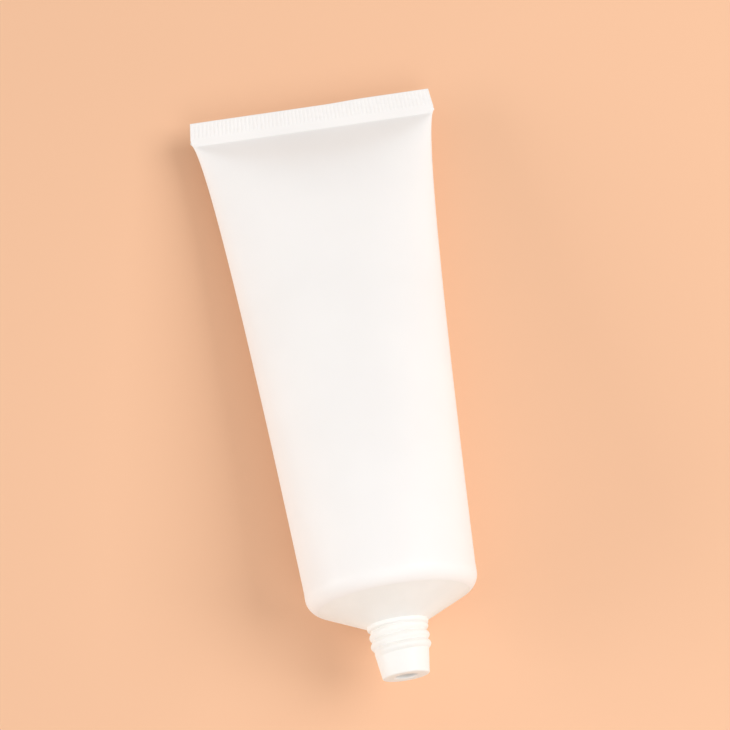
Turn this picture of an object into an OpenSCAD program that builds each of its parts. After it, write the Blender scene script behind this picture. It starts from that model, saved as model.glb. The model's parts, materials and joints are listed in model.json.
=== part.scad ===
// Cosmetic squeeze tube with its cap off, lying on its belly.
// An extruded sleeve is pressed flat and heat-sealed at one end. Its round end is fused to a moulded
// head, which is a conical shoulder with a threaded neck and a pouring hole.
// The nozzle points to -Y, the seal to +Y, and the belly lies on z = 0.

/* [Sleeve] */
// Outside diameter of the round end
tube_d = 40; // [34:1:46]
// Length from the shoulder edge to the cut end of the seal
sleeve_len = 129; // [110:1:160]
// Wall thickness of the sleeve
wall = 0.5; // [0.4:0.05:0.55]
// Outside radius of the rounded shoulder edge
edge_r = 4.2; // [3:0.1:5]
// How late the flattening starts, where 1 is at once
belly_power = 1.02; // [1:0.01:1.4]
// How the belly meets the seal, where a small power is blunt
pinch_power = 0.39; // [0.35:0.01:0.7]

/* [Seal] */
// Length of the ribbed part
rib_len = 4.9; // [3:0.1:8]
// Length of the smooth strip between the ribs and the belly
strip_len = 1.2; // [0.8:0.1:3]
// Slope of the flat faces that lead out of the seal to the belly
wedge_slope = 42; // [30:1:55]
// How far the two films lie close together past the seal
wedge_lead = 1; // [0.6:0.1:2]
// Thickness over the crests of the ribs
seal_t = 1.2; // [1.2:0.1:2]
// Pitch of the ribs
rib_pitch = 1; // [0.8:0.1:2]
// Depth of the grooves on each face
rib_depth = 0.2; // [0.1:0.05:0.3]
// How far the pressed seal spreads past the belly at each side
seal_spread = 0.05; // [0.05:0.05:0.5]

/* [Shoulder] */
// Slope of the cone, from the plane across the tube
shoulder_slope = 26; // [18:1:38]
// Wall thickness of the moulding
head_t = 1.2; // [1:0.1:1.5]
// Length of the rim that laps inside the sleeve
lap_len = 1.5; // [1:0.5:5]
// Clearance all round the lap
lap_gap = 0.03; // [0.03:0.01:0.1]

/* [Neck] */
// Length from the shoulder to the end face
neck_len = 12.2; // [10:0.2:15]
// Diameter over the thread
thread_d = 13.9; // [13.5:0.1:14]
// Diameter between the turns of the thread
core_d = 12.4; // [12:0.1:13]
// Pitch of the thread
thread_pitch = 2.05; // [1.8:0.05:2.6]
// Width of the thread's rounded ridge at the core
thread_w = 1.7; // [1.2:0.1:1.7]
// Direction in which the thread runs out near the end face, where 90 is up
thread_end = 150; // [0:10:350]
// Diameter of the collar below the thread
collar_d = 14.1; // [14.1:0.1:15]
// Length of the collar
collar_len = 1; // [0.6:0.1:1.6]
// Length of the plain tapered end
tip_len = 5.8; // [4:0.1:6.4]
// Diameter of the end face, over its rounded edge
tip_d = 10.8; // [10:0.1:11.6]
// Radius of the rounded edge of the end face
tip_edge_r = 0.4; // [0.2:0.1:0.8]
// Thickness of the end wall
end_t = 1.2; // [0.8:0.1:2]
// Diameter of the pouring hole
hole_d = 5; // [3:0.5:6]

/* [Rest] */
// Distance from the shoulder edge at which the belly touches the table
rest_at = 50; // [40:1:70]
// How deep the soft belly is pressed flat there
rest_sink = 0.5; // [0.3:0.05:0.8]

/* [Hidden] */
$fn = 96;

// Places along the tube, measured from the sharp shoulder edge towards the seal
tube_r = tube_d / 2;
mean_d = tube_d - wall;
edge_turn = 90 - shoulder_slope;
edge_start = edge_r * tan(edge_turn / 2);
body_start = edge_start + lap_len;
seal_start = sleeve_len - rib_len - strip_len;
body_len = seal_start - body_start;

// Places along the neck, measured from the sharp shoulder edge towards the end face
tip_r = tip_d / 2;
hole_r = hole_d / 2;
core_r = core_d / 2;
collar_r = collar_d / 2;
bore_r = tip_r - head_t;
rim_r = tube_r - wall - lap_gap;
root_z = (tube_r - collar_r) * tan(shoulder_slope);
tip_z = root_z + neck_len;

// The belly is an ellipse at each place, and keeps the girth of the round end as it flattens.
// The power holds the girth exactly at the circle and at the flat end, and within 0.4 % between them.
flat_half_w = PI * mean_d / 4;
girth_power = ln(2) / ln(PI / 2);
function mean_half_t(share) =
    wall / 2 + (mean_d - wall) / 2 * pow(1 - pow(share, belly_power), pinch_power);
function mean_half_w(half_t) =
    pow(pow(flat_half_w, girth_power) - pow(half_t, girth_power), 1 / girth_power);

// Next to the seal two flat faces, which open like a wedge, cut the ellipse short.
function wedge_ramp(d) = (d - wedge_lead + sqrt(pow(d - wedge_lead, 2) + pow(wedge_lead, 2))) / 2;
function wedge_half_t(s) =
    wall / 2 + tan(wedge_slope) * (wedge_ramp(max(seal_start - s, 0)) - wedge_ramp(0));
wedge_ease = 6;
function eased(v, limit) =
    v * limit / pow(pow(abs(v), wedge_ease) + pow(limit, wedge_ease), 1 / wedge_ease);

seal_w = 2 * mean_half_w(wall / 2) + wall + 2 * seal_spread;

// The tube leans until its belly is level at rest_at, and is centred over the origin.
rest_share = (rest_at - body_start) / body_len;
rest_slope = (mean_d - wall) / 2 * pinch_power * belly_power * pow(rest_share, belly_power - 1)
    * pow(1 - pow(rest_share, belly_power), pinch_power - 1) / body_len;
tilt = atan(rest_slope);
rest_half_t = mean_half_t(rest_share) + wall / 2;
axis_z = rest_at * sin(tilt) + rest_half_t * cos(tilt) - rest_sink;
seal_end_y = sleeve_len * cos(tilt) + seal_t / 2 * sin(tilt);
tip_end_y = -(tip_z - tip_edge_r) * cos(tilt) - (tip_r - tip_edge_r) * sin(tilt) - tip_edge_r;
axis_y = -(seal_end_y + tip_end_y) / 2;

// Fineness of the sleeve and the thread
sides = 64;
edge_steps = 6;
body_steps = 18;
ridge_turn_steps = 30;
ridge_side_steps = 8;

// Lays the upright neck or the level seal along the leaning axis.
module laid() {
    translate([0, axis_y, axis_z]) rotate([-tilt, 0, 0]) children();
}
function laid_point(p) = [
    p.x,
    axis_y + p.y * cos(tilt) + p.z * sin(tilt),
    axis_z - p.y * sin(tilt) + p.z * cos(tilt)
];

// A ring is its place along the tube, its half width and its half thickness.
function edge_ring(radius, turn) =
    let (r = tube_r - edge_r + radius * cos(turn)) [edge_start - radius * sin(turn), r, r];
function body_ring(share, out) =
    let (half_t = mean_half_t(share))
    [body_start + share * body_len, mean_half_w(half_t) + out, half_t + out];

// The rings crowd together towards the seal, where the belly curves most.
crowding = 2.3;
function body_share(step) = 1 - pow(1 - step / body_steps, crowding);

// The points of a ring, laid on the table, with those that would reach below floor_z pressed up to it.
function ring_points(ring, spread, out, floor_z) =
    let (limit = wedge_half_t(ring[0]) + out)
    [
        for (j = [0 : sides - 1])
            let (a = 360 * j / sides)
            let (v = eased(ring[2] * spread * sin(a), limit))
            let (p = laid_point([ring[1] * spread * cos(a), ring[0], v]))
            [p.x, p.y, max(p.z, floor_z)]
    ];

// A closed skin over rings that all have the same number of points.
module skin(rings) {
    per_ring = len(rings[0]);
    last = (len(rings) - 1) * per_ring;
    polyhedron(
        points = [for (ring = rings) each ring],
        faces = [
            [for (j = [0 : per_ring - 1]) j],
            for (start = [0 : per_ring : last - 1], j = [0 : per_ring - 1])
                let (a = start + j, b = start + (j + 1) % per_ring)
                each [[a, b + per_ring, b], [a, a + per_ring, b + per_ring]],
            [for (j = [per_ring - 1 : -1 : 0]) last + j]
        ]
    );
}

// The wall runs from inside the seal strip along the outside, round the cut edge and back inside.
module belly() {
    end_ring = body_ring(1, wall / 2);
    outside = [
        [seal_start + strip_len / 2, end_ring[1], end_ring[2]],
        for (i = [body_steps : -1 : 0]) body_ring(body_share(i), wall / 2),
        for (i = [0 : edge_steps]) edge_ring(edge_r, edge_turn * i / edge_steps)
    ];
    inside = [
        for (i = [edge_steps : -1 : 0]) edge_ring(edge_r - wall, edge_turn * i / edge_steps),
        for (i = [0 : body_steps - 2]) body_ring(body_share(i), -wall / 2)
    ];
    // The flats of the inside touch the true curve, so that the round rim of the head fits in it.
    inside_spread = 1 / cos(180 / sides);
    skin([
        for (ring = outside) ring_points(ring, 1, wall / 2, 0),
        for (ring = inside) ring_points(ring, inside_spread, -wall / 2, wall)
    ]);
}

module seal() {
    ribs = floor(seal_w / rib_pitch);
    crest = seal_t / 2;
    groove = crest - rib_depth;
    first = -ribs * rib_pitch / 2;
    face = [
        [-seal_w / 2, groove],
        for (i = [0 : ribs - 1])
            each [[first + i * rib_pitch, groove], [first + (i + 0.5) * rib_pitch, crest]],
        [first + ribs * rib_pitch, groove],
        [seal_w / 2, groove]
    ];
    other_face = [for (i = [len(face) - 1 : -1 : 0]) [face[i].x, -face[i].y]];
    // The strip laps a little over the belly's last ring, so that the two meet across each other.
    strip_lap = 0.05;
    laid() translate([0, sleeve_len, 0]) rotate([90, 0, 0]) {
        linear_extrude(rib_len) polygon(concat(face, other_face));
        translate([0, 0, rib_len])
            linear_extrude(strip_len + strip_lap) square([seal_w, seal_t], center = true);
    }
}

module sleeve() {
    color([0.97, 0.95, 0.93]) {
        belly();
        seal();
    }
}

// The half section of the shoulder and neck, from the hole over the outside and back along the inside.
function head_section() =
    let (rim_edge_r = edge_r - wall - lap_gap)
    let (lip = [
        tube_r - edge_r + edge_r * cos(edge_turn) - lap_gap * cos(shoulder_slope),
        -edge_start + edge_r * sin(edge_turn) + lap_gap * sin(shoulder_slope)
    ])
    let (step = wall + lap_gap)
    let (inner_r = rim_r - head_t)
    let (inner_drop = head_t / cos(shoulder_slope))
    [
        [hole_r, tip_z],
        for (a = [90 : -15 : 0])
            [tip_r - tip_edge_r + tip_edge_r * cos(a), tip_z - tip_edge_r + tip_edge_r * sin(a)],
        [core_r, tip_z - tip_len],
        [core_r, root_z + collar_len],
        [collar_r, root_z + collar_len],
        [collar_r, root_z],
        lip,
        [lip.x - step * sin(shoulder_slope), lip.y - step * cos(shoulder_slope)],
        for (i = [edge_steps : -1 : 0])
            let (turn = edge_turn * i / edge_steps)
            [tube_r - edge_r + rim_edge_r * cos(turn), -edge_start + rim_edge_r * sin(turn)],
        [rim_r, -body_start],
        [inner_r, -body_start],
        [inner_r, (tube_r - inner_r) * tan(shoulder_slope) - inner_drop],
        [bore_r, (tube_r - bore_r) * tan(shoulder_slope) - inner_drop],
        [bore_r, tip_z - end_t],
        [hole_r, tip_z - end_t]
    ];

// A right-hand ridge with a rounded crest, which climbs out of the collar and runs out at the tip.
module thread() {
    low = root_z + collar_len / 2;
    rise = tip_z - tip_len - low;
    turns = rise / thread_pitch;
    steps = round(turns * ridge_turn_steps);
    foot = core_r - (thread_d - core_d) / 4;
    height = thread_d / 2 - foot;
    run_out_steps = ridge_turn_steps / 6;
    sunk_share = 0.3;
    skin([
        for (i = [0 : steps])
            let (a = thread_end - 360 * turns * (1 - i / steps))
            let (run_out = min(1, i / run_out_steps, (steps - i) / run_out_steps))
            let (h = height * (sunk_share + (1 - sunk_share) * run_out))
            [for (j = [0 : ridge_side_steps])
                let (b = 180 * j / ridge_side_steps)
                let (r = foot + h * sin(b))
                [r * cos(a), r * sin(a), low + rise * i / steps + thread_w / 2 * cos(b)]]
    ]);
}

module head() {
    color([0.98, 0.96, 0.94]) laid() rotate([90, 0, 0]) {
        rotate_extrude() polygon(head_section());
        thread();
    }
}

sleeve();
head();
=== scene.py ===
# %% [markdown]
# # A cosmetic tube, cap off, lying on its belly
# The real tube is two pieces of white polyethylene. The sleeve is extruded as a long pipe, cut, pressed
# flat at one end and welded there between ribbed jaws. The head, a shoulder with a threaded neck, is
# moulded and fused into the round end. The CAD frame holds both at their real size, and this file models
# each again with smooth surfaces and a finish. It works in metres, in the frame's own place.

# %% Load the frame
import json
import math
import bmesh
import bpy
from mathutils import Matrix, Vector


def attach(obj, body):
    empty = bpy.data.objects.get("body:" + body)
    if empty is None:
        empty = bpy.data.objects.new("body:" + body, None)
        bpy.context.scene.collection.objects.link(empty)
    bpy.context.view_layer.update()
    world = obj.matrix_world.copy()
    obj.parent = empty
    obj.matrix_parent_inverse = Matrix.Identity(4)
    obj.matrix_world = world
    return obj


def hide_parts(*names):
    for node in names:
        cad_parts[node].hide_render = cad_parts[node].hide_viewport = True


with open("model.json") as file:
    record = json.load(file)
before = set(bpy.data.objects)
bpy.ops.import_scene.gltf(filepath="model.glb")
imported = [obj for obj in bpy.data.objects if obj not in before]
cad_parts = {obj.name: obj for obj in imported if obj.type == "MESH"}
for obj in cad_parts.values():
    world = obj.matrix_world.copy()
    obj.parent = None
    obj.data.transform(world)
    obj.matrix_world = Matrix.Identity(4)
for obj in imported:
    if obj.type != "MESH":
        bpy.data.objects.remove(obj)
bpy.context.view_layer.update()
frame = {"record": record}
MM = 0.001

# %% [markdown]
# ## How the tube lies
# The pouring hole's mount says where the end face is and which way the nozzle points. Everything else is
# measured back from there along the tube's axis: the sharp shoulder edge is the zero of all lengths.

# %% Find the axis and the shoulder edge
TUBE_R = 20 * MM
SHOULDER_SLOPE = math.radians(26)
COLLAR_R = 7.05 * MM
NECK_LEN = 12.2 * MM

mounts = {mount["name"]: mount for mount in frame["record"]["mounts"]}
nozzle_way = Vector(mounts["pouring_hole"]["axis"]).normalized()
end_face = Vector(mounts["pouring_hole"]["pos_m"])
tilt = math.asin(nozzle_way.z)
root_z = (TUBE_R - COLLAR_R) * math.tan(SHOULDER_SLOPE)
tip_z = root_z + NECK_LEN
shoulder = end_face - nozzle_way * tip_z
print("tilt in degrees", round(math.degrees(tilt), 3), "shoulder at mm", [round(v / MM, 2) for v in shoulder])

# %% [markdown]
# ## Working by hand, in code
# Modelling operators act on what is selected, so each step first selects vertices, edges or faces by
# their place. This helper does that in edit mode, and two more begin and end a piece.

# %% Selecting and placing
SELECT_MODES = {"verts": "VERT", "edges": "EDGE", "faces": "FACE"}


def pick(kind, test):
    """Selects, in edit mode, only the vertices, edges or faces that pass the test, and counts them."""
    bpy.ops.mesh.select_mode(type=SELECT_MODES[kind])
    bpy.ops.mesh.select_all(action="DESELECT")
    edited = bpy.context.edit_object.data
    mesh = bmesh.from_edit_mesh(edited)
    found = [part for part in getattr(mesh, kind) if test(part)]
    for part in found:
        part.select_set(True)
    mesh.select_flush_mode()
    bmesh.update_edit_mesh(edited)
    return len(found)


def name_piece(name):
    """Names the object that was just added, puts its size and turn into its mesh, and opens it."""
    piece = bpy.context.object
    piece.name = name
    bpy.ops.object.transform_apply(location=True, rotation=True, scale=True)
    bpy.ops.object.mode_set(mode="EDIT")
    return piece


def close_skin():
    """Fills the open ends, turns the faces outwards and leaves edit mode."""
    bpy.ops.mesh.select_mode(type="VERT")
    bpy.ops.mesh.select_all(action="SELECT")
    bpy.ops.mesh.fill_holes(sides=0)
    bpy.ops.mesh.normals_make_consistent(inside=False)
    bpy.ops.object.mode_set(mode="OBJECT")


def lay(piece, turn):
    """Turns a finished piece about X and moves its zero to the shoulder edge."""
    piece.matrix_world = Matrix.Translation(shoulder) @ Matrix.Rotation(turn, 4, "X")
    bpy.ops.object.select_all(action="DESELECT")
    piece.select_set(True)
    bpy.context.view_layer.objects.active = piece
    bpy.ops.object.transform_apply(location=True, rotation=True, scale=True)


# %% [markdown]
# ## The belly of the sleeve
# Film does not stretch when it is pressed flat, so every section keeps the girth of the round end: as
# the tube gets thinner it gets wider, and that gives the flare towards the seal. A modeller would start
# from a circle and extrude it ring by ring, making each ring an ellipse. That is done here, along the
# outside from the seal to the shoulder, round the cut edge and back along the inside, so the film has
# its real thickness and the skin is closed.

# %% Work out the rings
SLEEVE_LEN = 129 * MM
WALL = 0.5 * MM
EDGE_R = 4.2 * MM
LAP_LEN = 1.5 * MM
BELLY_POWER = 1.02
PINCH_POWER = 0.39
RIB_LEN = 4.9 * MM
STRIP_LEN = 1.2 * MM
EDGE_STEPS = 10
OUTSIDE_STEPS = 84
INSIDE_STEPS = 36
INSIDE_END = 1.2 * MM
CROWDING = 2.2

mean_d = 2 * TUBE_R - WALL
flat_half_w = math.pi * mean_d / 4
girth_power = math.log(2) / math.log(math.pi / 2)
edge_turn = math.pi / 2 - SHOULDER_SLOPE
edge_start = EDGE_R * math.tan(edge_turn / 2)
body_start = edge_start + LAP_LEN
seal_start = SLEEVE_LEN - RIB_LEN - STRIP_LEN


def body_ring(share, out):
    """Place, half width and half thickness at a share of the way from the shoulder to the seal."""
    half_t = WALL / 2 + (mean_d - WALL) / 2 * (1 - share ** BELLY_POWER) ** PINCH_POWER
    half_w = (flat_half_w ** girth_power - half_t ** girth_power) ** (1 / girth_power)
    return body_start + share * (seal_start - body_start), half_w + out, half_t + out


def edge_ring(radius, turn):
    """A round ring on the rounded shoulder edge, where turn 0 meets the straight wall."""
    r = TUBE_R - EDGE_R + radius * math.cos(turn)
    return edge_start - radius * math.sin(turn), r, r


def body_rings(steps, out):
    """Rings from the shoulder to the seal, which crowd where the belly curves most."""
    return [body_ring(1 - (1 - i / steps) ** CROWDING, out) for i in range(steps + 1)]


edge_turns = [edge_turn * i / EDGE_STEPS for i in range(EDGE_STEPS + 1)]
seal_end = body_ring(1, WALL / 2)
outside = [(seal_start + STRIP_LEN / 2, seal_end[1], seal_end[2])]
outside += reversed(body_rings(OUTSIDE_STEPS, WALL / 2))
outside += [edge_ring(EDGE_R, turn) for turn in edge_turns]
inside = [edge_ring(EDGE_R - WALL, turn) for turn in reversed(edge_turns)]
inside += [ring for ring in body_rings(INSIDE_STEPS, -WALL / 2) if seal_start - ring[0] > INSIDE_END]
print("rings outside", len(outside), "inside", len(inside))

# %% Extrude the belly ring by ring
SIDES = 192


def extrude_rings(last, rings):
    """Extrudes the selected ring through the rings that follow it, and returns the last one."""
    for ring in rings:
        bpy.ops.mesh.extrude_region_move(TRANSFORM_OT_translate={"value": (0, ring[0] - last[0], 0)})
        bpy.ops.transform.resize(
            value=(ring[1] / last[1], 1, ring[2] / last[2]), center_override=(0, ring[0], 0)
        )
        last = ring
    return last


bpy.ops.object.select_all(action="DESELECT")
bpy.ops.mesh.primitive_circle_add(vertices=SIDES, radius=1, rotation=(math.pi / 2, 0, 0))
sleeve = name_piece("sleeve_skin")
bpy.ops.mesh.select_all(action="SELECT")
bpy.ops.transform.resize(value=(outside[0][1], 1, outside[0][2]), center_override=(0, 0, 0))
bpy.ops.transform.translate(value=(0, outside[0][0], 0))
last_ring = extrude_rings(outside[0], outside[1:])
extrude_rings(last_ring, inside)
close_skin()
print("belly faces", len(sleeve.data.polygons))

# %% [markdown]
# ## The wedge beside the seal
# Plain ellipses would make the belly rise steeply from the seal. Real film leaves the jaws flat: both
# faces lie close together for almost a millimetre, then open like a wedge, and only the side folds
# bulge at once. No modelling operator does that to a whole skin, so each vertex is held under the
# wedge's height at its place, with a soft limit that leaves no crease. The flat part is sunk by a hair,
# because the seal's smooth strip will cover it.

# %% Hold the faces under a wedge
WEDGE_SLOPE = math.radians(33)
WEDGE_FLAT = 0.8 * MM
WEDGE_LEAD = 0.25 * MM
WEDGE_SINK = 0.03 * MM
WEDGE_EASE = 6
NEAR_SEAL = 2 * MM


def wedge_ramp(d):
    """A ramp that starts gently at d = 0 and soon climbs one for one."""
    return (d - WEDGE_LEAD + math.hypot(d - WEDGE_LEAD, WEDGE_LEAD)) / 2


def wedge_half_t(y):
    """Half the wedge's thickness, at the middle of the film, at a place along the tube."""
    beyond_flat = max(seal_start - WEDGE_FLAT - y, 0)
    return WALL / 2 - WEDGE_SINK + math.tan(WEDGE_SLOPE) * (wedge_ramp(beyond_flat) - wedge_ramp(0))


def eased(height, limit):
    """The height, held smoothly under the limit on both sides of zero."""
    return height * limit / (abs(height) ** WEDGE_EASE + limit ** WEDGE_EASE) ** (1 / WEDGE_EASE)


inside_first = len(outside) * SIDES
inside_last = inside_first + len(inside) * SIDES
for v in sleeve.data.vertices:
    out = WALL / 2 if v.index < inside_first else -WALL / 2
    v.co.z = eased(v.co.z, wedge_half_t(v.co.y) + out)
print("half thickness in mm near the seal", round(wedge_half_t(seal_start - NEAR_SEAL) / MM, 3))

# %% [markdown]
# A soft tube is pressed flat where it lies. The sleeve is laid at its tilt first, and every vertex that
# would be under the table is then lifted to it. The inside of the film follows, one wall higher.

# %% Lay the sleeve and press its belly flat on the table
lay(sleeve, -tilt)
bpy.ops.object.mode_set(mode="EDIT")
pressed = pick("verts", lambda v: v.co.z < 0)
bpy.ops.transform.resize(value=(1, 1, 0), center_override=(0, 0, 0))
pressed += pick("verts", lambda v: inside_first <= v.index < inside_last and v.co.z < WALL)
bpy.ops.transform.resize(value=(1, 1, 0), center_override=(0, 0, WALL))
bpy.ops.object.mode_set(mode="OBJECT")
print("vertices pressed flat", pressed)

# %% [markdown]
# ## The seal
# Two hot jaws with fine ribs weld the flattened end. The ribs run along the tube, about one a
# millimetre. They fade out into a smooth strip beside the belly, and a little before the cut edge. One
# rib is modelled from a cube: its sides are opened, it is cut into columns and rows, and its columns are
# raised and squeezed into a wave. An array then repeats it across the seal.

# %% Model one rib
SEAL_SPREAD = -0.1 * MM
SEAL_T = 1.0 * MM
RIB_PITCH = 1.0 * MM
RIB_DEPTH = 0.17 * MM
RIB_FADE = 0.8 * MM
CUT_PLAIN = 0.35 * MM
CUT_FADE = 0.5 * MM
RIB_COLUMNS = 8
FADE_ROWS = 4
STRIP_ROWS = 6
SIDEWAYS = 0.9
TINY = 0.001 * MM

strip_start = seal_start - WEDGE_FLAT
seal_len = SLEEVE_LEN - strip_start
seal_w = 2 * (seal_end[1] + SEAL_SPREAD)
rib_count = round(seal_w / RIB_PITCH)
rib_w = seal_w / rib_count
strip_end = seal_start + STRIP_LEN
cut_start = SLEEVE_LEN - CUT_PLAIN
rib_rows = [strip_end + RIB_FADE * i / FADE_ROWS for i in range(1, FADE_ROWS + 1)]
rib_rows += [strip_end + RIB_LEN / 2, cut_start - CUT_FADE, cut_start - CUT_FADE / 2]
plain_rows = [strip_start + (strip_end - strip_start) * i / STRIP_ROWS for i in range(1, STRIP_ROWS + 1)]
plain_rows.append(cut_start)


def wave(x, y):
    """Height of the rib's wave at a place across and along it, as a share of its full depth."""
    from_strip = min((y - strip_end) / RIB_FADE, 1)
    from_cut = min((cut_start - y) / CUT_FADE, 1)
    return math.cos(2 * math.pi * x / rib_w) / 2 * math.sin(min(from_strip, from_cut) * math.pi / 2)


bpy.ops.object.select_all(action="DESELECT")
bpy.ops.mesh.primitive_cube_add(size=1, location=(0, strip_start + seal_len / 2, 0))
bpy.context.object.scale = (rib_w, seal_len, SEAL_T)
seal = name_piece("seal_skin")
pick("faces", lambda face: abs(face.normal.x) > SIDEWAYS)
bpy.ops.mesh.delete(type="ONLY_FACE")
pick("edges", lambda edge: abs(edge.verts[0].co.x - edge.verts[1].co.x) > rib_w / 2)
bpy.ops.mesh.subdivide(number_cuts=RIB_COLUMNS - 1)
for row in rib_rows + plain_rows:
    bpy.ops.mesh.select_all(action="SELECT")
    bpy.ops.mesh.bisect(plane_co=(0, row, 0), plane_no=(0, 1, 0))
for row in rib_rows:
    for column in range(RIB_COLUMNS + 1):
        x = rib_w * (column / RIB_COLUMNS - 0.5)
        pick("verts", lambda v: abs(v.co.x - x) < TINY and abs(v.co.y - row) < TINY)
        stretch = 1 + wave(x, row) * RIB_DEPTH / (SEAL_T / 2)
        bpy.ops.transform.resize(value=(1, 1, stretch), center_override=(0, 0, 0))
bpy.ops.object.mode_set(mode="OBJECT")
print("faces of one rib", len(seal.data.polygons))

# %% Repeat the rib and finish the seal's edges
SEAL_EDGE_R = 0.15 * MM
SEAL_EDGE_STEPS = 2
SHARP = math.pi / 4


def on_rim(v):
    """True on the outer border of the seal as seen from above."""
    return abs(v.co.y - SLEEVE_LEN) < TINY or abs(abs(v.co.x) - seal_w / 2) < TINY


repeat = seal.modifiers.new("ribs", "ARRAY")
repeat.count = rib_count
repeat.use_relative_offset = False
repeat.use_constant_offset = True
repeat.constant_offset_displace = (rib_w, 0, 0)
repeat.use_merge_vertices = True
repeat.merge_threshold = TINY
bpy.ops.object.modifier_apply(modifier=repeat.name)
bpy.ops.object.mode_set(mode="EDIT")
bpy.ops.mesh.select_all(action="SELECT")
bpy.ops.transform.translate(value=(-rib_w * (rib_count - 1) / 2, 0, 0))
bpy.ops.mesh.fill_holes(sides=0)
pick("edges", lambda edge: all(on_rim(v) for v in edge.verts) and edge.calc_face_angle(0) > SHARP)
bpy.ops.mesh.bevel(offset=SEAL_EDGE_R, segments=SEAL_EDGE_STEPS, affect="EDGES")
close_skin()
print("ribs", rib_count, "pitch in mm", round(rib_w / MM, 4))

# %% [markdown]
# The jaws draw the hot film in a little, so the seal is narrowest at its cut end. The knife leaves that
# end almost straight, with a slow wave. At the other end the smooth strip's corners thin out and curve
# in to the folds of the belly. All are small slides of the seal's vertices, which grow from nothing to
# their full size at the end that they belong to.

# %% Draw the cut end in and round the strip's corners
CUT_TAPER = 0.45 * MM
CUT_WAVE = 0.3 * MM
WAVE_MIDDLE = 9 * MM
WAVE_LEN = 12 * MM
STRIP_TAPER = 0.7 * MM
CORNER_W = 1.5 * MM
CORNER_THIN = 0.7

for v in seal.data.vertices:
    drawn = min(max((v.co.y - strip_end) / RIB_LEN, 0), 1)
    curved = min(max((strip_end - v.co.y) / (strip_end - strip_start), 0), 1) ** 2
    at_corner = max(1 - (seal_w / 2 - abs(v.co.x)) / CORNER_W, 0)
    wave_share = min(max(0.5 - (v.co.x - WAVE_MIDDLE) / WAVE_LEN, 0), 1)
    v.co.z *= 1 - curved * at_corner * CORNER_THIN
    v.co.x *= 1 - (drawn * CUT_TAPER + curved * STRIP_TAPER) / (seal_w / 2)
    v.co.y -= drawn * CUT_WAVE * math.sin(wave_share * math.pi / 2) ** 2
cut_xs = [v.co.x for v in seal.data.vertices if v.co.y > cut_start]
print("width at the cut in mm", round((max(cut_xs) - min(cut_xs)) / MM, 2))

# %% [markdown]
# The two films are one solid where they are welded. Joining the meshes would leave the belly's end hidden
# inside the seal, and light that soaks into the plastic would get lost there, so a Boolean union makes
# one clean skin of them.

# %% Weld the seal to the belly
SMOOTH_ANGLE = math.radians(35)

lay(seal, -tilt)
weld = sleeve.modifiers.new("weld", "BOOLEAN")
weld.operation = "UNION"
weld.solver = "MANIFOLD"
weld.object = seal
bpy.ops.object.select_all(action="DESELECT")
sleeve.select_set(True)
bpy.context.view_layer.objects.active = sleeve
bpy.ops.object.modifier_apply(modifier=weld.name)
bpy.ops.object.shade_smooth_by_angle(angle=SMOOTH_ANGLE)
bpy.data.objects.remove(seal)
print("sleeve faces", len(sleeve.data.polygons))

# %% [markdown]
# ## The shoulder and the neck
# The head is a moulding with one half section all round, so its section is drawn point by point with the
# extrude tool and spun about the neck's axis. The section holds the wall's true thickness, the rim that
# laps inside the sleeve, the bore and the pouring hole. Rows are close together where the thread will be
# raised.

# %% Draw the half section of the head
HEAD_T = 1.2 * MM
LAP_GAP = 0.004 * MM
CORE_R = 6.2 * MM
COLLAR_LEN = 1.0 * MM
TIP_LEN = 5.8 * MM
TIP_R = 5.4 * MM
TIP_EDGE_R = 0.4 * MM
END_T = 1.2 * MM
HOLE_R = 2.5 * MM
HOLE_EDGE_R = 0.45 * MM
COLLAR_EDGE_R = 0.45 * MM
ROOT_FILLET_R = 0.3 * MM
ROW_STEP = 0.1 * MM
CONE_ROWS = 8
LIP_STEPS = 6
COLLAR_STEPS = 4

bore_r = TIP_R - HEAD_T
rim_r = TUBE_R - WALL - LAP_GAP
inner_r = rim_r - HEAD_T
step_in = WALL + LAP_GAP
tip_start = tip_z - TIP_LEN


def arc(r, z, radius, first, last, steps):
    """Points of an arc about a centre in the half section, with angles in degrees from straight out."""
    turns = [math.radians(first + (last - first) * i / steps) for i in range(steps + 1)]
    return [(r + radius * math.cos(turn), z + radius * math.sin(turn)) for turn in turns]


def line(start, end, steps):
    """Evenly spaced points after the start, up to and with the end."""
    shares = [i / steps for i in range(1, steps + 1)]
    return [(start[0] + (end[0] - start[0]) * s, start[1] + (end[1] - start[1]) * s) for s in shares]


def cone_inside_z(r):
    """Height of the inside of the shoulder cone at a radius."""
    return (TUBE_R - r) * math.tan(SHOULDER_SLOPE) - HEAD_T / math.cos(SHOULDER_SLOPE)


slope_deg = math.degrees(SHOULDER_SLOPE)
collar_top = root_z + COLLAR_LEN
lip = (
    TUBE_R - EDGE_R + EDGE_R * math.cos(edge_turn) - LAP_GAP * math.cos(SHOULDER_SLOPE),
    -edge_start + EDGE_R * math.sin(edge_turn) + LAP_GAP * math.sin(SHOULDER_SLOPE),
)
section = [(bore_r, tip_z - END_T), (HOLE_R, tip_z - END_T)]
section += arc(HOLE_R + HOLE_EDGE_R, tip_z - HOLE_EDGE_R, HOLE_EDGE_R, 180, 90, LIP_STEPS)
section += arc(TIP_R - TIP_EDGE_R, tip_z - TIP_EDGE_R, TIP_EDGE_R, 90, 0, LIP_STEPS)
section += line(section[-1], (CORE_R, tip_start), round(TIP_LEN / ROW_STEP))
neck_foot = (CORE_R, collar_top + ROOT_FILLET_R)
section += line(section[-1], neck_foot, round((tip_start - neck_foot[1]) / ROW_STEP))
section += arc(CORE_R + ROOT_FILLET_R, neck_foot[1], ROOT_FILLET_R, 180, 270, COLLAR_STEPS)[1:]
section += arc(COLLAR_R - COLLAR_EDGE_R, collar_top - COLLAR_EDGE_R, COLLAR_EDGE_R, 90, 0, COLLAR_STEPS)
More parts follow.
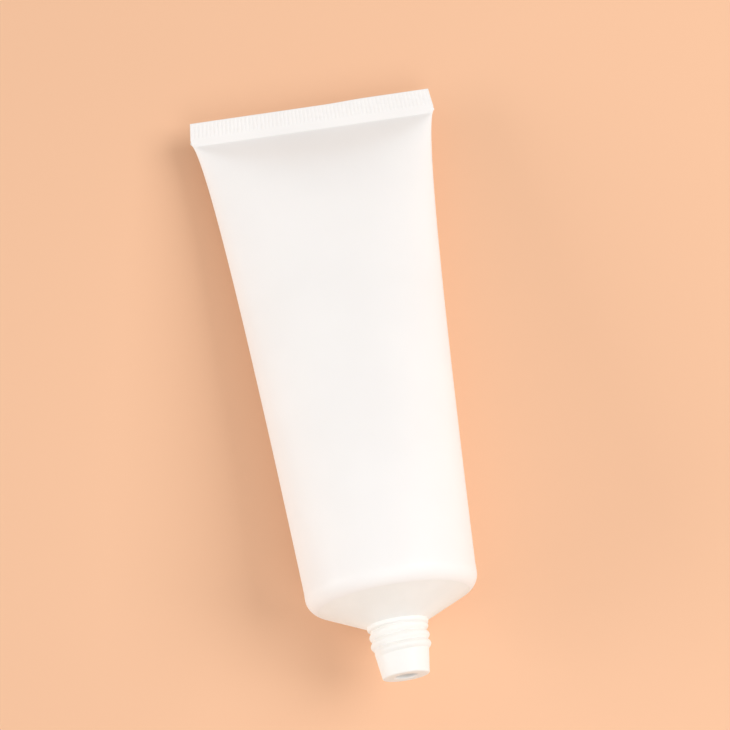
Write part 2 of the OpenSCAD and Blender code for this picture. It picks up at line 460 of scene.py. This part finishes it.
section.append((COLLAR_R, root_z))
section += line(section[-1], lip, CONE_ROWS)
section.append((lip[0] - step_in * math.sin(SHOULDER_SLOPE), lip[1] - step_in * math.cos(SHOULDER_SLOPE)))
section += arc(TUBE_R - EDGE_R, -edge_start, EDGE_R - step_in, 90 - slope_deg, 0, EDGE_STEPS)
section += [(rim_r, -body_start), (inner_r, -body_start), (inner_r, cone_inside_z(inner_r))]
section += [(bore_r, cone_inside_z(bore_r)), section[0]]
print("points in the section", len(section))

# %% Spin the section into the head
SPIN_STEPS = 192

bpy.ops.object.select_all(action="DESELECT")
bpy.ops.mesh.primitive_plane_add(size=MM)
head = name_piece("head_moulding")
bpy.ops.mesh.select_all(action="SELECT")
bpy.ops.mesh.merge(type="CENTER")
bpy.ops.transform.translate(value=(section[0][0], 0, section[0][1]))
for (r0, z0), (r1, z1) in zip(section, section[1:]):
    bpy.ops.mesh.extrude_region_move(TRANSFORM_OT_translate={"value": (r1 - r0, 0, z1 - z0)})
bpy.ops.mesh.select_all(action="SELECT")
bpy.ops.mesh.spin(steps=SPIN_STEPS, angle=2 * math.pi, center=(0, 0, 0), axis=(0, 0, 1))
bpy.ops.mesh.select_all(action="SELECT")
bpy.ops.mesh.remove_doubles(threshold=TINY)
close_skin()
print("head faces", len(head.data.polygons))

# %% [markdown]
# ## The thread
# A cap's thread is a rounded ridge that winds almost three times round the neck and runs out near the
# tip. A separate coil would have to be welded on. Here the neck's own surface is raised instead: a
# vertex group is painted along the ridge's path, strongest at its crest, and a Displace modifier pushes
# the surface out by the ridge's height. The skin stays one clean grid. The first turn rises out of the
# collar, and the groove between them opens as the ridge climbs away.

# %% Paint the ridge's path and raise it
THREAD_R = 6.85 * MM
THREAD_PITCH = 2.05 * MM
RIDGE_W = 2.0 * MM
RIDGE_POWER = 0.9
THREAD_END = math.radians(150)
RUN_OUT = math.radians(35)
JOINED = 0.5 * MM
PARTING = 0.7 * MM

ridge_low = root_z + COLLAR_LEN / 2
ridge_turns = (tip_start - ridge_low) / THREAD_PITCH
ridge_start = THREAD_END - 2 * math.pi * ridge_turns


def ridge_share(co):
    """How far the ridge is raised at a point of the neck, from 0 beside it to 1 on its crest."""
    angle = math.atan2(co.y, co.x)
    best = 0
    for turn in range(-math.ceil(ridge_turns), 2):
        along = angle + 2 * math.pi * turn
        if not ridge_start <= along <= THREAD_END:
            continue
        crest_z = ridge_low + THREAD_PITCH * (along - ridge_start) / (2 * math.pi)
        off = abs(co.z - crest_z) / (RIDGE_W / 2)
        if co.z < crest_z:
            off *= min(1, max(0, (crest_z - collar_top - JOINED) / PARTING))
        run_out = min(1, (THREAD_END - along) / RUN_OUT)
        if off < 1:
            best = max(best, math.cos(off * math.pi / 2) ** RIDGE_POWER * math.sin(run_out * math.pi / 2))
    return best


ridge = head.vertex_groups.new(name="ridge")
for v in head.data.vertices:
    r = math.hypot(v.co.x, v.co.y)
    if r > TIP_R and collar_top - TINY < v.co.z < tip_start + RIDGE_W:
        already_out = max(r - CORE_R, 0) / (THREAD_R - CORE_R)
        ridge.add([v.index], max(ridge_share(v.co) - already_out, 0), "REPLACE")
raise_ridge = head.modifiers.new("thread", "DISPLACE")
raise_ridge.vertex_group = ridge.name
raise_ridge.mid_level = 0
raise_ridge.strength = THREAD_R - CORE_R
bpy.ops.object.modifier_apply(modifier=raise_ridge.name)
head.vertex_groups.clear()
lay(head, math.pi / 2 - tilt)
bpy.ops.object.shade_smooth_by_angle(angle=SMOOTH_ANGLE)
print("turns of the thread", round(ridge_turns, 2))

# %% [markdown]
# ## White polyethylene
# Both pieces are polyethylene filled with white pigment. It is a soft, waxy plastic: a broad, dull
# highlight and a little light that soaks in. The extruded sleeve has very faint lines along its length
# from the die. The moulded head has the fine, even grain of a sparked steel mould. Real grain is a few
# hundredths of a millimetre wide, too fine to show here, so it is drawn at about half a millimetre.

# %% Colours and nodes
NOISE_LOW = 0.3
NOISE_HIGH = 0.7
CLOUD_LOW = 0.35
CLOUD_HIGH = 0.65
SOAK_COLOURS = (1.0, 0.9, 0.8)
SOAK_DEPTH = 1.0 * MM


def linear(code):
    """An sRGB hex colour as the linear red, green, blue and alpha that shaders take."""
    channels = [int(code[i:i + 2], 16) / 255 for i in (1, 3, 5)]
    curve = [c / 12.92 if c <= 0.04045 else ((c + 0.055) / 1.055) ** 2.4 for c in channels]
    return (*curve, 1)


def add_node(tree, kind, inputs=None, **settings):
    """Adds a node, sets its properties, and fills or links its inputs."""
    node = tree.nodes.new(kind)
    for name, value in settings.items():
        setattr(node, name, value)
    for name, value in (inputs or {}).items():
        if isinstance(value, bpy.types.NodeSocket):
            tree.links.new(value, node.inputs[name])
        else:
            node.inputs[name].default_value = value
    return node


def start_material(name):
    """An empty node material with its output, and the object coordinates that patterns read."""
    material = bpy.data.materials.new(name)
    material.use_nodes = True
    tree = material.node_tree
    tree.nodes.clear()
    place = add_node(tree, "ShaderNodeTexCoord").outputs["Object"]
    return material, tree, place


# %% Extruded low-density polyethylene, satin
DIE_LINE_W = 1.2 * MM
DIE_LINE_LEN = 60 * MM
FILM_GRAIN = 0.6 * MM
FILM_CLOUD = 25 * MM
FILM_DULL = (0.42, 0.54)
FILM_RELIEF = 0.01 * MM

film, tree, place = start_material("extruded_polyethylene_film")
along_tube = add_node(
    tree,
    "ShaderNodeMapping",
    {"Vector": place, "Rotation": (tilt, 0, 0), "Scale": (1 / DIE_LINE_W, 1 / DIE_LINE_LEN, 1 / DIE_LINE_W)},
)
die_lines = add_node(
    tree, "ShaderNodeTexNoise", {"Vector": along_tube.outputs["Vector"], "Scale": 1, "Detail": 3}
)
grain = add_node(tree, "ShaderNodeTexNoise", {"Vector": place, "Scale": 1 / FILM_GRAIN, "Detail": 2})
cloud = add_node(tree, "ShaderNodeTexNoise", {"Vector": place, "Scale": 1 / FILM_CLOUD, "Detail": 2})
whites = add_node(tree, "ShaderNodeValToRGB", {"Fac": cloud.outputs["Fac"]})
whites.color_ramp.elements[0].position = CLOUD_LOW
whites.color_ramp.elements[0].color = linear("#F8F6F5")
whites.color_ramp.elements[1].position = CLOUD_HIGH
whites.color_ramp.elements[1].color = linear("#FBF9F8")
dullness = add_node(
    tree,
    "ShaderNodeMapRange",
    {
        "Value": die_lines.outputs["Fac"],
        "From Min": NOISE_LOW,
        "From Max": NOISE_HIGH,
        "To Min": FILM_DULL[0],
        "To Max": FILM_DULL[1],
    },
)
line_bump = add_node(
    tree,
    "ShaderNodeBump",
    {"Height": die_lines.outputs["Fac"], "Strength": 0.25, "Distance": FILM_RELIEF},
)
grain_bump = add_node(
    tree,
    "ShaderNodeBump",
    {
        "Height": grain.outputs["Fac"],
        "Normal": line_bump.outputs["Normal"],
        "Strength": 0.3,
        "Distance": FILM_RELIEF,
    },
)
film_shader = add_node(
    tree,
    "ShaderNodeBsdfPrincipled",
    {
        "Base Color": whites.outputs["Color"],
        "Roughness": dullness.outputs["Result"],
        "Normal": grain_bump.outputs["Normal"],
        "IOR": 1.51,
        "Subsurface Weight": 0.06,
        "Subsurface Radius": SOAK_COLOURS,
        "Subsurface Scale": SOAK_DEPTH,
    },
)
add_node(tree, "ShaderNodeOutputMaterial", {"Surface": film_shader.outputs["BSDF"]})
print("made", film.name)

# %% Moulded high-density polyethylene, sparked grain
MOULD_GRAIN = 0.45 * MM
FLOW_MARK = 6 * MM
MOULD_DULL = (0.46, 0.58)
MOULD_RELIEF = 0.012 * MM

moulded, tree, place = start_material("moulded_polyethylene")
grain = add_node(tree, "ShaderNodeTexNoise", {"Vector": place, "Scale": 1 / MOULD_GRAIN, "Detail": 3})
flow = add_node(tree, "ShaderNodeTexNoise", {"Vector": place, "Scale": 1 / FLOW_MARK, "Detail": 2})
whites = add_node(tree, "ShaderNodeValToRGB", {"Fac": flow.outputs["Fac"]})
whites.color_ramp.elements[0].position = CLOUD_LOW
whites.color_ramp.elements[0].color = linear("#F6F5F2")
whites.color_ramp.elements[1].position = CLOUD_HIGH
whites.color_ramp.elements[1].color = linear("#F9F8F5")
dullness = add_node(
    tree,
    "ShaderNodeMapRange",
    {
        "Value": grain.outputs["Fac"],
        "From Min": NOISE_LOW,
        "From Max": NOISE_HIGH,
        "To Min": MOULD_DULL[0],
        "To Max": MOULD_DULL[1],
    },
)
grain_bump = add_node(
    tree,
    "ShaderNodeBump",
    {"Height": grain.outputs["Fac"], "Strength": 0.3, "Distance": MOULD_RELIEF},
)
moulded_shader = add_node(
    tree,
    "ShaderNodeBsdfPrincipled",
    {
        "Base Color": whites.outputs["Color"],
        "Roughness": dullness.outputs["Result"],
        "Normal": grain_bump.outputs["Normal"],
        "IOR": 1.54,
        "Subsurface Weight": 0.1,
        "Subsurface Radius": SOAK_COLOURS,
        "Subsurface Scale": SOAK_DEPTH,
    },
)
add_node(tree, "ShaderNodeOutputMaterial", {"Surface": moulded_shader.outputs["BSDF"]})
print("made", moulded.name)

# %% Give each piece its finish and its place in the frame
for piece, material, node, slot in (
    (sleeve, film, "sleeve", "sleeve_plastic"),
    (head, moulded, "head", "head_plastic"),
):
    piece.data.materials.clear()
    piece.data.materials.append(material)
    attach(piece, "root")
    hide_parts(node)
    print(piece.name, "stands for", node)

# %% [markdown]
# ## Table, light and camera
# The tube lies on a plain pale peach table, whose warm light comes back into the lower sides of the white
# plastic. The table returns a paler peach than the camera sees, so that the white stays white. A soft sky
# lights it all round. A large soft lamp on the right gives the gentle shadow on the left, a low one far to
# the left lifts that side, and a weak one over the nozzle looks into the pouring hole. The camera looks
# down from the nozzle's end, at the angle and distance that make the outline agree with the photograph.

# %% Table
TABLE_SIZE = 4
SEEN_PEACH = linear("#F4C4A1")
BOUNCED_PEACH = linear("#F4D2B8")

bpy.ops.object.select_all(action="DESELECT")
bpy.ops.mesh.primitive_plane_add(size=TABLE_SIZE)
table = bpy.context.object
table.name = "table"
peach, tree, place = start_material("peach_table")
rays = add_node(tree, "ShaderNodeLightPath")
table_colour = add_node(
    tree,
    "ShaderNodeMix",
    {"Factor": rays.outputs["Is Camera Ray"], 6: BOUNCED_PEACH, 7: SEEN_PEACH},
    data_type="RGBA",
)
table_shader = add_node(
    tree,
    "ShaderNodeBsdfPrincipled",
    {"Base Color": table_colour.outputs[2], "Roughness": 0.9, "Specular IOR Level": 0.1},
)
add_node(tree, "ShaderNodeOutputMaterial", {"Surface": table_shader.outputs["BSDF"]})
table.data.materials.append(peach)

# %% Light
SKY_STRENGTH = 0.5
LAMPS = (
    ("key_lamp", (0.77, -0.04, 0.92), 0.7, 7.0),
    ("fill_lamp", (-3.5, 0, 0.81), 2.4, 64),
    ("front_lamp", (0.14, -0.72, 0.83), 0.5, 1.8),
)

world = bpy.data.worlds.new("soft_sky")
bpy.context.scene.world = world
world.use_nodes = True
tree = world.node_tree
tree.nodes.clear()
rays = add_node(tree, "ShaderNodeLightPath")
sky = add_node(tree, "ShaderNodeBackground", {"Color": linear("#FFFAF5"), "Strength": SKY_STRENGTH})
backdrop = add_node(tree, "ShaderNodeBackground", {"Color": SEEN_PEACH, "Strength": 1})
seen = add_node(
    tree,
    "ShaderNodeMixShader",
    {0: rays.outputs["Is Camera Ray"], 1: sky.outputs["Background"], 2: backdrop.outputs["Background"]},
)
add_node(tree, "ShaderNodeOutputWorld", {"Surface": seen.outputs["Shader"]})
for name, place, size, watts in LAMPS:
    bpy.ops.object.light_add(type="AREA", location=place)
    lamp = bpy.context.object
    lamp.name = name
    lamp.data.energy = watts
    lamp.data.size = size
    lamp.rotation_euler = (-Vector(place)).to_track_quat("-Z", "Y").to_euler()

# %% Camera
CAMERA_PLACE = Vector((-18.92, -111.15, 420.68)) * MM
CAMERA_TURN = (15.875, -0.476, -9.170)
CAMERA_LENS = 86.3
SENSOR_W = 36

bpy.ops.object.camera_add(location=CAMERA_PLACE, rotation=[math.radians(turn) for turn in CAMERA_TURN])
camera = bpy.context.object
camera.data.sensor_width = SENSOR_W
camera.data.lens = CAMERA_LENS
camera.data.clip_start = 10 * MM
bpy.context.scene.camera = camera
bpy.context.scene.view_settings.view_transform = "Standard"
